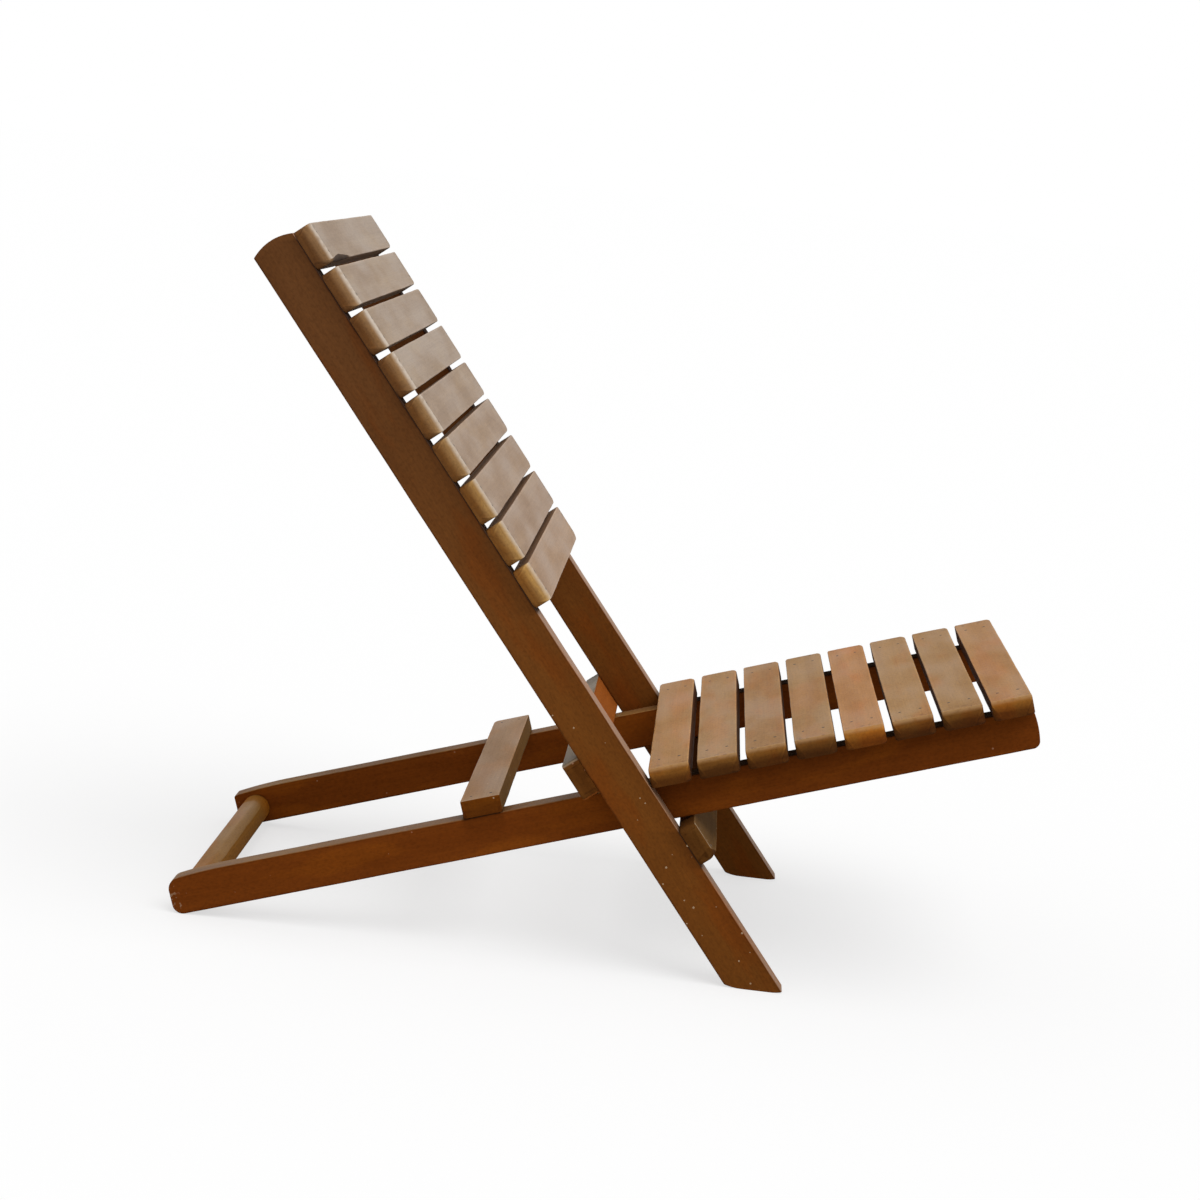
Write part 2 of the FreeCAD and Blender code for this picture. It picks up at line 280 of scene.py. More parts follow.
def chance(seed, trait):
    """Random value near -1 to 1 for one trait of a board, always the same for one seed."""
    return wander(seed, trait, 1.3)


def span(nodes, axis):
    """Lowest and highest place of some nodes along a direction."""
    places = [axis.dot(vertex.co) for node in nodes for vertex in NODES[node].data.vertices]
    return min(places), max(places)


def own_frame(node, x_axis, z_axis):
    """Placement at the middle of a node's box along these axes, and the size of that box."""
    axes = (x_axis, z_axis.cross(x_axis), z_axis)
    spans = [span([node], axis) for axis in axes]
    back = Matrix(axes).transposed()
    placement = back.to_4x4()
    placement.translation = back @ Vector([(low + high) / 2 for low, high in spans])
    return placement, Vector([high - low for low, high in spans])


def arc_inset(radius, distance):
    """How far a rounded edge has fallen back at this distance from where it ends."""
    if distance >= radius:
        return 0.0
    return radius - math.sqrt(radius * radius - (radius - distance) ** 2)


def end_fall(run, drop, distance):
    """Fall of the show face towards a board's end, along an arc that starts with a crease."""
    if distance >= run:
        return 0.0
    radius = (run * run + drop * drop) / (2 * run)
    return drop - math.sqrt(max(0.0, radius * radius - (radius - distance) ** 2))


class Board:
    """A board long in X, wide in Y and thick in Z, with its middle at the origin.

    Its top falls by a drop over a run at each end, where each corner has its radius. Low and
    high are its edges at -Y and +Y. Its weathered surface faces the angle pale_turn, counted
    from +Y towards +Z.
    """

    broken_grime = 0.0

    def __init__(self, node, along, up, seed, pale_turn):
        self.node = node
        self.placement, size = own_frame(node, along, up)
        self.length, self.width, self.thickness = size
        self.seed = seed
        self.pale_turn = pale_turn
        self.runs = {"start": ARRIS, "end": ARRIS}
        self.drops = {"start": ARRIS, "end": ARRIS}
        self.corners = dict.fromkeys(("start_low", "start_high", "end_low", "end_high"), ARRIS)
        self.edge_wear = PLANK_EDGE_WEAR
        self.edge_wave = PLANK_EDGE_WAVE
        self.speck_share = 0.0
        self.warmth = 0.0
        self.rubbed_and_highlighted = 1.0
        self.middle = 0.0
        self.carried = []

    def start(self, y):
        """How far inside the box the start of the board lies at this place across it."""
        return 0.0

    def end(self, y):
        """How far inside the box the end of the board lies at this place across it."""
        return 0.0

    def high_edge(self, x):
        """How far inside the box the high edge lies at this place along the board."""
        return 0.0

    def knocked(self, x, edge):
        """Extra rounding of a long edge that was knocked or chipped."""
        return 0.0

    def specks(self, x):
        """How thickly paint specks and chips lie here, 0 to 1."""
        return self.speck_share

    def dirt(self, x):
        """How dirty the weathered face is here, 0 to 1."""
        return 0.0

    def greyed(self, x):
        """How far the varnish has greyed here, 0 to 1."""
        return 0.0

    def bow(self, y):
        """0 in the middle of the width, 1 at both edges."""
        return (2 * y / self.width) ** 2

    def carry(self, axis, *groups):
        """Note where groups of other boards lie over the weathered edge, along this axis."""
        self.middle = axis.dot(self.placement.translation)
        self.carried = [span(nodes, axis) for nodes in groups]

    def covered(self, x):
        """Whether other boards lie over the weathered edge here."""
        return any(low < x + self.middle < high for low, high in self.carried)

    def curve_steps(self, side):
        """Distances from an end at which columns follow its curves."""
        run = self.runs[side]
        corner = max(self.corners[side + "_low"], self.corners[side + "_high"])
        steps = {0.0, run, run + CREASE_STEP, corner, max(run, corner) + CURVE_MARGIN}
        for step in range(1, CURVE_STEPS):
            bend = 1 - math.cos(math.radians(90 * step / CURVE_STEPS))
            steps |= {round(run * bend, 5), round(corner * bend, 5)}
        return sorted(steps)

    def columns(self):
        """Places along the board, close together where its ends curve."""
        near = [-self.length / 2 + step for step in self.curve_steps("start")]
        far = [self.length / 2 - step for step in reversed(self.curve_steps("end"))]
        count = round((far[0] - near[-1]) / COLUMN_STEP)
        return near + [mix(near[-1], far[0], step / count) for step in range(1, count)] + far

    def on_crease(self, x):
        """Whether the crease where an end starts to fall is at this place."""
        run = self.runs["start" if x < 0 else "end"]
        return run > ARRIS and abs(self.length / 2 - abs(x) - run) < SAME_PLACE

    def arris(self, x, edge):
        """Radius of a long edge, which is more worn in some places than in others."""
        worn = wander(x, self.seed + edge * 1.7, LONG_WEAR)
        worn += 0.5 * wander(x, self.seed - edge, SHORT_WEAR)
        return ARRIS + self.edge_wear * max(0.0, USUAL_WEAR_SHARE + worn) + self.knocked(x, edge)

    def ring(self, x, low, high, bottom, top):
        """Points round one section: y, z, direction the surface faces, distance to an edge, breakage."""
        limit = ROUND_LIMIT_SHARE * min(high - low, top - bottom)
        radii = [min(self.arris(x, edge), limit) for edge in range(4)]
        corners = [
            (high - radii[HIGH_TOP], top - radii[HIGH_TOP], radii[HIGH_TOP], 0),
            (low + radii[LOW_TOP], top - radii[LOW_TOP], radii[LOW_TOP], 90),
            (low + radii[LOW_BOTTOM], bottom + radii[LOW_BOTTOM], radii[LOW_BOTTOM], 180),
            (high - radii[HIGH_BOTTOM], bottom + radii[HIGH_BOTTOM], radii[HIGH_BOTTOM], 270),
        ]
        ring = []
        for index, (y, z, radius, first) in enumerate(corners):
            broken = fade(self.knocked(x, index) / BROKEN_DEPTH)
            for step in range(ARC_POINTS):
                angle = math.radians(first + 90 * step / (ARC_POINTS - 1))
                place = (y + radius * math.cos(angle), z + radius * math.sin(angle))
                ring.append((*place, angle, 0.0, broken))
            next_y, next_z, next_radius, next_first = corners[(index + 1) % 4]
            turn = math.radians(next_first)
            begin = ring[-1]
            finish = (next_y + next_radius * math.cos(turn), next_z + next_radius * math.sin(turn))
            run = math.hypot(finish[0] - begin[0], finish[1] - begin[1])
            gaps = 1 + (FACE_ROWS if index % 2 == 0 else EDGE_ROWS)
            for row in range(1, gaps):
                part = 0.5 - 0.5 * math.cos(math.pi * row / gaps)
                place = (mix(begin[0], finish[0], part), mix(begin[1], finish[1], part))
                ring.append((*place, turn, min(part, 1 - part) * run, 0.0))
        return ring

    def crease(self, run, from_end, facing):
        """How pale the fall of an end is here, most at its crease: rubbed pale, and with a painted
        highlight.
        """
        if run <= ARRIS or facing <= 0.5 or from_end >= run + CREASE_STEP / 2:
            return 0.0
        return self.rubbed_and_highlighted * fade(CREASE_FALL - CREASE_FALL * (run - from_end) / (CREASE_SHARE * run))

    def grime_and_shade(self, x, facing, broken, inside):
        """Dirt in a broken edge, and painted shade under the boards that this one carries."""
        if not self.covered(x):
            return self.broken_grime * broken
        # Painted shade: the covered edge goes dark, and the side is drawn darker just below the carried
        # boards
        return max(fade(3 * facing), SEAM_SHADE * math.exp(-inside / SEAM_SHADE_REACH))

    def section(self, x):
        """Points round the board at one column, each with what the material needs to know."""
        side = "start" if x < 0 else "end"
        from_end = self.length / 2 - abs(x)
        run = self.runs[side]
        low = -self.width / 2 + arc_inset(self.corners[side + "_low"], from_end)
        low += self.edge_wave * abs(wander(x, self.seed + 11, EDGE_WAVE_LENGTH))
        high = self.width / 2 - self.high_edge(x) - arc_inset(self.corners[side + "_high"], from_end)
        high -= self.edge_wave * abs(wander(x, self.seed + 23, EDGE_WAVE_LENGTH))
        bottom = -self.thickness / 2 + arc_inset(ARRIS, from_end)
        top = self.thickness / 2 - end_fall(run, self.drops[side], from_end)
        points = []
        for y, z, turn, to_edge, broken in self.ring(x, low, high, bottom, top):
            facing = max(0.0, math.cos(turn - self.pale_turn)) * (1 - broken)
            points.append({
                "place": Vector((x + mix(self.start(y), -self.end(y), x / self.length + 0.5), y, z)),
                "facing": facing,
                "wear": math.exp(-to_edge / WEAR_REACH),
                "crease": self.crease(run, from_end, facing),
                "ends": fade((run - from_end) / CREASE_STEP) if run > ARRIS else 0.0,
                "depth": 0.5 - z / self.thickness,
                "grime_and_shade": self.grime_and_shade(x, facing, broken, high - y),
                "dirt": self.dirt(x) * facing,
                "specks": self.specks(x),
                "greyed": self.greyed(x) * (1 - facing),
                "warmth": self.warmth,
            })
        return points


class Slat(Board):
    """A slat with worn ends, which may end short of its box at the far end."""

    def __init__(self, node, face, seed, corners, far_run, far_short=0.0):
        super().__init__(node, WIDE, face, seed, PALE_TOP)
        uneven = 1 + RUN_VARIES * chance(seed, 1.1)
        start_drop = SLAT_END_DROP * (1 + DROP_VARIES * chance(seed, 5.1))
        self.runs = {"start": SLAT_END_RUN * uneven, "end": far_run * uneven}
        self.drops = {"start": start_drop, "end": SLAT_END_DROP}
        for index, (corner, radius) in enumerate(corners.items()):
            self.corners[corner] = radius * (1 + CORNER_VARIES * chance(seed, 2.9 + index))
        self.start_arch = END_ARCH * abs(chance(seed, 6.3))
        self.end_arch = END_ARCH * (FAR_ARCH_SHARE + chance(seed, 8.3))
        self.far_short = far_short
        self.edge_wear = SLAT_EDGE_WEAR
        self.edge_wave = SLAT_EDGE_WAVE
        self.speck_share = SLAT_SPECKS

    def start(self, y):
        return self.start_arch * self.bow(y)

    def end(self, y):
        return self.far_short + self.end_arch * self.bow(y)

    def dirt(self, x):
        return fade(1 - (self.length / 2 - abs(x) - SLAT_END_RUN) / DIRT_REACH)


class ChippedSlat(Slat):
    """A slat whose lower edge is chipped near the camera, with dirt in the chip."""

    broken_grime = TOP_SLAT_CHIP_GRIME

    def knocked(self, x, edge):
        if edge != LOW_TOP:
            return 0.0
        away = abs(x + self.length / 2 - TOP_SLAT_CHIP_PLACE)
        deep = TOP_SLAT_CHIP * (0.8 + 0.4 * wander(x, 5.5, TOP_SLAT_CHIP_WAVE))
        return deep * max(0.0, 1 - away / TOP_SLAT_CHIP_REACH)


class Bar(Board):
    """A cross board with softly rounded ends."""

    def __init__(self, node, face, seed, corner, pale_turn=PALE_TOP):
        super().__init__(node, WIDE, face, seed, pale_turn)
        self.runs = {"start": BAR_END_ROUND, "end": BAR_END_ROUND}
        self.drops = dict(self.runs)
        self.corners = dict.fromkeys(self.corners, corner)
        self.edge_wear = BAR_EDGE_WEAR
        self.speck_share = BAR_SPECKS


class KnockedBar(Bar):
    """A cross board with a knocked corner at the end near the camera."""

    def knocked(self, x, edge):
        if edge != LOW_TOP:
            return 0.0
        return BAR_KNOCK * fade(1 - (x + self.length / 2) / BAR_KNOCK_REACH)


class Stile(Board):
    """A stile lies along its own X from the foot up, with its front edge at +Y."""

    def __init__(self, node, seed, speck_share):
        super().__init__(node, STILE_UP, WIDE, seed, PALE_HIGH_EDGE)
        self.speck_share = speck_share
        self.carry(STILE_UP, BACK_SLATS, ["front_cross_bar"])

    def start(self, y):
        """The foot, cut level with the floor, with an eased toe and heel."""
        slope = STILE_UP.y / STILE_UP.z
        from_toe = (self.width / 2 - y) / STILE_UP.z
        from_heel = self.width / STILE_UP.z - from_toe
        toe = max(0.0, 1 - from_toe / TOE_LENGTH) ** 2 * TOE_RISE
        heel = max(0.0, 1 - from_heel / FOOT_HEEL_LENGTH) ** 2 * FOOT_HEEL_RISE
        return (self.width / 2 - y) * slope + (toe + heel - TOE_RISE) / STILE_UP.z

    def end(self, y):
        return STILE_CROWN * self.bow(y)

    def specks(self, x):
        up = x / self.length + 0.5
        return self.speck_share * fade(0.5 - STILE_SPECKS_FALL * (up - STILE_SPECKS_MIDDLE))

    def greyed(self, x):
        return fade(x / self.length + 0.5 - GREYING_START)


class Rail(Board):
    """A rail lies along its own X from the nose to the tail, with its top at +Y."""

    def __init__(self, node, seed, tip_radius, tail_specks):
        super().__init__(node, RAIL_REAR, WIDE, seed, PALE_HIGH_EDGE)
        self.tail_specks = tail_specks
        self.corners["start_low"] = NOSE_RADIUS
        self.corners["end_low"] = HEEL_RADIUS
        self.corners["end_high"] = tip_radius
        self.carry(RAIL_REAR, SEAT_SLATS, ["stop_slat"])

    def start(self, y):
        return NOSE_BULGE * self.bow(y)

    def high_edge(self, x):
        into = (x - (self.length / 2 - TAPER_LENGTH)) / TAPER_LENGTH
        return TAPER_DROP * max(0.0, into) ** 2

    def specks(self, x):
        return mix(RAIL_SPECKS, self.tail_specks, fade((x - self.length / 2 + RAIL_TAIL) / RAIL_TAIL))


def board_cap():
    """Faces that close a board's end: strips from top to bottom, and a fan at each edge."""
    last = 2 * ARC_POINTS + FACE_ROWS - 1
    mirror = 2 * last + EDGE_ROWS + 1
    around = mirror + EDGE_ROWS + 1
    faces = [(step, step + 1, mirror - step - 1, mirror - step) for step in range(1, last - 1)]
    low_edge = range(last - 1, mirror - last + 2)
    high_edge = [step % around for step in range(mirror - 1, around + 2)]
    for edge in (low_edge, high_edge):
        faces += [(edge[0], edge[step], edge[step + 1]) for step in range(1, len(edge) - 1)]
    return faces


def tube_sides(first, rings, around):
    """Faces between the rings of points of a tube, whose first point has this number."""
    faces = []
    for ring in range(rings - 1):
        base = first + ring * around
        for step in range(around):
            after = (step + 1) % around
            faces.append((base + step, base + after, base + around + after, base + around + step))
    return faces


def shade_smooth(mesh):
    """Smooth shading, but not across edges where faces meet at a clear angle."""
    mesh.polygons.foreach_set("use_smooth", [True] * len(mesh.polygons))
    mesh.set_sharp_from_angle(angle=SMOOTH_ANGLE)


def grain_shift(seed):
    """Moves a board to a place of its own in the grain, so that no two are alike."""
    return Vector([3 * noise.noise(Vector((seed * 1.37, axis * 5.1, 0.7))) for axis in range(3)])


def skin_mesh(name, rings, places, layers, own, seed, cap, sharp_rings=()):
    """Skin a row of rings of points, closed by a cap, and store what the material reads."""
    around = len(places) // rings
    faces = [tuple(reversed(face)) for face in cap]
    faces += tube_sides(0, rings, around)
    faces += [tuple((rings - 1) * around + corner for corner in face) for face in cap]
    mesh = bpy.data.meshes.new(name)
    mesh.from_pydata(places, [], faces)

    shift = grain_shift(seed)
    flat = [value for point in own for value in point + shift]
    mesh.attributes.new("own", "FLOAT_VECTOR", "POINT").data.foreach_set("vector", flat)
    layers["tone"] = [wander(seed, 3.3, 1.9)] * len(places)
    for layer, values in layers.items():
        mesh.attributes.new(layer, "FLOAT", "POINT").data.foreach_set("value", values)

    shade_smooth(mesh)
    for edge in mesh.edges:
        first, second = [vertex // around for vertex in edge.vertices]
        if first == second and first in sharp_rings:
            edge.use_edge_sharp = True
    return mesh


def add_piece(name, mesh, material, body, node):
    """Put a mesh in place of a CAD node, on its body."""
    piece = bpy.data.objects.new(name, mesh)
    bpy.context.scene.collection.objects.link(piece)
    mesh.materials.append(material)
    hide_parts(node)
    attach(piece, body)


def add_board(board, body, material):
    """Put a board in place of its node."""
    columns = board.columns()
    points = [point for x in columns for point in board.section(x)]
    own = [point.pop("place") for point in points]
    places = [board.placement @ place for place in own]
    layers = {layer: [point[layer] for point in points] for layer in points[0]}
    creases = {index for index, x in enumerate(columns) if board.on_crease(x)}
    name = board.node + "_board"
    mesh = skin_mesh(name, len(columns), places, layers, own, board.seed, board_cap(), creases)
    add_piece(name, mesh, material, body, board.node)


def handle_stations(inner, outer):
    """Places along the handle and its radius there, with a tenon outside each inner face."""
    left_tenon = [(-outer, TENON_RADIUS), (-inner, TENON_RADIUS)]
    right_tenon = [(inner, TENON_RADIUS), (outer, TENON_RADIUS)]
    places = [mix(-inner, inner, step / HANDLE_STEPS) for step in range(HANDLE_STEPS + 1)]
    return left_tenon + [(x, HANDLE_RADIUS) for x in places] + right_tenon


def add_handle(material):
    """The round handle between the rails: hands wore its top flat and pale, but not at the rails."""
    node = "carry_handle"
    placement, size = own_frame(node, WIDE, SEAT_UP)
    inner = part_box("seat_rail_left")[0].x
    stations = handle_stations(inner, size.x / 2)
    own = []
    layers = {"facing": [], "ends": [], "grime_and_shade": [], "specks": []}
    for x, radius in stations:
        worn = fade((inner - abs(x)) / HANDLE_WORN_FADE)
        flat = HANDLE_RADIUS - HANDLE_FLAT * worn + HANDLE_FLAT_WAVE * wander(x, 71, 50 * MM) * worn
        edge = HANDLE_WORN_HALF + HANDLE_WORN_HALF_VARIES * wander(x, 73, 30 * MM)
        # Painted shade: the handle goes darker within a few millimetres of each rail
        grime_and_shade = HANDLE_CONTACT_SHADE * math.exp(-max(0.0, inner - abs(x)) / HANDLE_CONTACT_SHADE_REACH)
        for step in range(HANDLE_SIDES):
            angle = 2 * math.pi * step / HANDLE_SIDES
            uneven = 1 - HANDLE_UNEVEN * abs(wander(x, 60 + 2 * math.cos(angle), 70 * MM))
            z = radius * uneven * math.sin(angle)
            away = math.cos(angle - HANDLE_WORN_MIDDLE) - math.cos(edge)
            own.append(Vector((x, radius * uneven * math.cos(angle), min(z, flat))))
            layers["facing"].append(fade(0.5 + away / HANDLE_WORN_BLUR) * worn)
            layers["ends"].append((1 - worn) * fade(1.2 - math.sin(angle)))
            layers["grime_and_shade"].append(grime_and_shade)
            layers["specks"].append(HANDLE_SPECKS)
    lift = Vector((0, 0, HANDLE_FLAT / 2))
    places = [placement @ (place + lift) for place in own]
    cap = [range(HANDLE_SIDES)]
    mesh = skin_mesh(node + "_dowel", len(stations), places, layers, own, 61, cap)
    add_piece(node + "_dowel", mesh, material, "seat_frame", node)


def nail_rings(seed):
    """Radius and height of a nail from its point to its slightly domed head."""
    head = NAIL_RADIUS * (HEAD_SHARE + HEAD_VARIES * chance(seed, 4.4))
    return [
        (NAIL_TIP_RADIUS, -NAIL_LENGTH),
        (NAIL_RADIUS, -NAIL_LENGTH + NAIL_POINT),
        (NAIL_RADIUS, -MM),
        (head, 0),
        (head * 0.7, HEAD_RISE * 0.8),
        (head * 0.3, HEAD_RISE),
    ]


def nail_points(centre, rings):
    """Points of a nail whose head is at this place, ring by ring."""
    points = []
    for radius, height in rings:
        for step in range(NAIL_SIDES):
            angle = 2 * math.pi * step / NAIL_SIDES
            points.append(centre + Vector((radius * math.cos(angle), radius * math.sin(angle), height)))
    return points


def add_nails(node, body, boards, nail_x, material):
    """Two nails near both ends of each board, driven in from the face that is given for it."""
    places = []
    faces = []
    for index, (board, face) in enumerate(boards.items()):
        placement, size = own_frame(board, WIDE, face)
        for side in (-1, 1):
            for row in (-1, 1):
                centre = Vector((side * nail_x, row * size.y * NAIL_PITCH_SHARE / 2, size.z / 2))
                rings = nail_rings(index * 4 + side + row / 2)
                first = len(places)
                places += [placement @ point for point in nail_points(centre, rings)]
                last = len(places) - NAIL_SIDES
                faces += tube_sides(first, len(rings), NAIL_SIDES)
                faces.append([first + step for step in reversed(range(NAIL_SIDES))])
                faces.append([last + step for step in range(NAIL_SIDES)])
    mesh = bpy.data.meshes.new(node + "_set")
    mesh.from_pydata(places, [], faces)
    shade_smooth(mesh)
    add_piece(node + "_set", mesh, material, body, node)


class Shader:
    """Short names for building one material out of nodes."""

    def __init__(self, name):
        self.material = bpy.data.materials.new(name)
        self.material.use_nodes = True
        self.tree = self.material.node_tree
        self.tree.nodes.clear()

    def fill(self, socket, value):
        """Link an output to a socket, or set the socket to a constant."""
        if isinstance(value, bpy.types.NodeSocket):
            self.tree.links.new(value, socket)
        else:
            socket.default_value = value

    def node(self, kind, **inputs):
        """A node with inputs filled by name, with _ for a space."""
        node = self.tree.nodes.new(kind)
        for key, value in inputs.items():
            self.fill(node.inputs[key.replace("_", " ")], value)
        return node

    def layer(self, name, socket="Fac"):
        """A value that the mesh stores at its points."""
        node = self.tree.nodes.new("ShaderNodeAttribute")
        node.attribute_name = name
        return node.outputs[socket]

    def maths(self, operation, a, b, clamp=False):
        node = self.tree.nodes.new("ShaderNodeMath")
        node.operation = operation
        node.use_clamp = clamp
        self.fill(node.inputs[0], a)
        self.fill(node.inputs[1], b)
        return node.outputs[0]

    def times(self, a, b):
        return self.maths("MULTIPLY", a, b)

    def plus(self, a, b):
        return self.maths("ADD", a, b)

    def without(self, share):
        return self.maths("SUBTRACT", 1.0, share, clamp=True)

    def blend(self, share, a, b, kind="MIX"):
        node = self.tree.nodes.new("ShaderNodeMix")
        node.data_type = "RGBA"
        node.blend_type = kind
        self.fill(node.inputs[0], share)
        self.fill(node.inputs[6], a)
        self.fill(node.inputs[7], b)
        return node.outputs[2]

    def tint(self, share, colour, factor):
        """Multiply a colour by a factor for each channel, as far as share goes."""
        return self.blend(share, colour, (*factor, 1), "MULTIPLY")

    def spread(self, value, low, high, bottom=0.0, top=1.0):
        """Smooth step from bottom to top while a value goes from low to high."""
        node = self.tree.nodes.new("ShaderNodeMapRange")
        node.interpolation_type = "SMOOTHSTEP"
        self.fill(node.inputs["Value"], value)
        node.inputs["From Min"].default_value = low
        node.inputs["From Max"].default_value = high
        node.inputs["To Min"].default_value = bottom
        node.inputs["To Max"].default_value = top
        return node.outputs["Result"]

    def grain(self, along, across, through=None, detail=4.0, warp=0.0):
        """Noise drawn out along the board: features per metre in its own X, Y and Z."""
        scale = self.tree.nodes.new("ShaderNodeVectorMath")
        scale.operation = "MULTIPLY"
        self.tree.links.new(self.layer("own", "Vector"), scale.inputs[0])
        scale.inputs[1].default_value = (along, across, across if through is None else through)
        spots = self.node(
            "ShaderNodeTexNoise", Vector=scale.outputs[0], Scale=1.0, Detail=detail, Distortion=warp
        )
        return spots.outputs["Fac"]

    def finish(self, surface):
        """Show this surface, and give the finished material."""
        self.node("ShaderNodeOutputMaterial", Surface=surface)
        return self.material


class Wood(Shader):
    """Aged varnish over straight-grained wood whose grain runs along the board's own X."""

    def __init__(self, name):
        super().__init__(name)
        self.facing = self.layer("facing")
        self.ends = self.layer("ends")
        self.figure = self.grain(1.6, 60.0, warp=0.5)
        self.fibres = self.grain(14.0, 900.0, detail=3.0)
        self.streaks = self.grain(260.0, 30.0, 260.0)
        self.blotches = self.grain(9.0, 20.0, detail=5.0)
        self.patches = self.grain(7.0, 26.0, detail=3.0)
        self.speckle = self.grain(260.0, 380.0, detail=3.0)
        self.smudges = self.grain(120.0, 150.0)
        self.weathered = self.times(self.facing, self.without(self.ends))

    def stain(self, colour, field, low, high, most, factor):
        """Tint a colour where a field goes from low to high, up to a share of most."""
        return self.tint(self.spread(field, low, high, 0.0, most), colour, factor)

    def bare(self, face, side, end_high, end_low, warm, warm_end):
        """Colour of the weathered face, the other sides and the ends, with no grain yet; the ends get
        painted shade, darker towards the bottom.
        """
        colour = self.blend(self.spread(self.facing, 0.2, 0.9), (*side, 1), (*face, 1))
        if warm:
            colour = self.tint(self.layer("warmth"), colour, warm)
        # Painted shade: each end goes from end_high at the top to the darker end_low at the bottom, next
        # to the board it lies on
        down = self.spread(self.layer("depth"), 0.0, 0.75)
        end_colour = self.blend(down, (*end_high, 1), (*end_low, 1))
        end_colour = self.stain(end_colour, self.streaks, 0.42, 0.64, 0.45, END_STREAK)
        if warm_end:
            end_colour = self.tint(self.layer("warmth"), end_colour, warm_end)
        return self.blend(self.ends, colour, end_colour)

    def aged(self, colour, patch):
        """Greyed, patchy and blotched varnish, with the grain showing through."""
        colour = self.stain(colour, self.layer("greyed"), 0.0, 1.0, 0.8, GREYED)
        colour = self.stain(colour, self.patches, 0.48, 0.64, 0.75, patch)
        colour = self.stain(colour, self.figure, 0.6, 0.3, 0.3, DARK_FIGURE)
        colour = self.stain(colour, self.figure, 0.5, 0.75, 0.4, PALE_FIGURE)
        colour = self.tint(self.spread(self.fibres, 0.3, 0.62, 0.2, 0.0), colour, DARK_FIBRE)
        colour = self.stain(colour, self.blotches, 0.5, 0.75, 0.4, DARK_BLOTCH)
        colour = self.stain(colour, self.speckle, 0.5, 0.66, 0.45, DARK_SPECKLE)
        return self.stain(colour, self.speckle, 0.46, 0.3, 0.5, PALE_SPECKLE)

    def toned(self, colour):
        """A slightly lighter or darker colour for each board."""
        tone = self.plus(self.times(self.layer("tone"), TONE_VARIES), 1.0)
        grey = self.node("ShaderNodeCombineColor", Red=tone, Green=tone, Blue=tone)
        return self.blend(1.0, colour, grey.outputs[0], "MULTIPLY")

    def rubbed_and_highlighted(self, colour, worn):
        """Edges rubbed pale on the weathered face, painted shade along the edges elsewhere, and the
        creases, rubbed pale with a painted highlight.
        """
        smeared = self.spread(self.smudges, 0.38, 0.6, 0.2, 0.9)
        edges = self.times(self.spread(self.layer("wear"), 0.35, 1.0), smeared)
        colour = self.tint(self.times(edges, self.facing), colour, RUBBED_PALE)
        # Painted shade: the edges of the other sides are drawn darker
        colour = self.tint(self.times(edges, self.spread(self.facing, 0.5, 0.1)), colour, PAINTED_EDGE_SHADE)
        # The creases take the colour worn: rubbed pale, with a painted highlight
        creased = self.times(self.layer("crease"), self.spread(self.smudges, 0.3, 0.55, 0.6, 1.0))
        return self.blend(creased, colour, (*worn, 1))

    def soiled_and_shaded(self, colour):
        """Dirt near the ends of the slats and in broken edges, and painted shade in the seams under the
        carried boards and where the handle meets the rails.
        """
        near_ends = self.times(self.layer("dirt"), self.weathered)
        dirty = self.times(near_ends, self.spread(self.smudges, 0.53, 0.66))
        colour = self.tint(self.times(dirty, 0.7), colour, DIRT)
        return self.blend(self.layer("grime_and_shade"), colour, self.tint(1.0, colour, GRIME_AND_SHADE))

    def paint_marks(self):
        """Where drops and chips of paint lie, as thick as the board's specks say, and their colour."""
        own = self.layer("own", "Vector")
        cells = self.node("ShaderNodeTexVoronoi", Vector=own, Scale=PAINT_CELLS_PER_METRE)
        pick = self.node("ShaderNodeSeparateColor", Color=cells.outputs["Color"])
        painted = self.times(self.layer("specks"), PAINTED_CELLS)
        chosen = self.maths("LESS_THAN", pick.outputs[0], painted)
        radius = self.spread(pick.outputs[1], 0.0, 1.0, 0.05, 0.12)
        drops = self.times(chosen, self.maths("LESS_THAN", cells.outputs["Distance"], radius))
        least = self.spread(self.layer("specks"), 0.75, 1.0, 0.9, 0.57)
        chips = self.maths("GREATER_THAN", self.grain(240.0, 260.0, detail=5.0), least)
        colour = self.blend(self.spread(pick.outputs[2], 0.4, 0.7), CREAM_PAINT, REDDISH_PAINT)
        return self.maths("MAXIMUM", drops, self.times(chips, CHIP_COVER)), colour

    def varnished(self, colour, marks, gloss, varnish):
        """The finished material, with uneven gloss and a fine relief."""
        shine = self.spread(self.blotches, 0.3, 0.7, *varnish)
        clean = self.times(self.weathered, self.without(self.layer("grime_and_shade")))
        dull = self.spread(clean, 0.2, 0.9, 0.85, 0.0)
        height = self.plus(self.times(self.fibres, 0.35), self.times(self.figure, 0.5))
        height = self.plus(height, self.times(self.speckle, 0.3))
        height = self.plus(height, self.times(marks, 0.8))
        relief = self.node(
            "ShaderNodeBump", Height=height, Strength=RELIEF_STRENGTH, Distance=RELIEF_DEPTH
        )
        surface = self.node(
            "ShaderNodeBsdfPrincipled",
            Base_Color=colour,
            Roughness=self.maths("MAXIMUM", shine, dull),
            Specular_IOR_Level=gloss,
            Normal=relief.outputs[0],
        )
        return self.finish(surface.outputs[0])


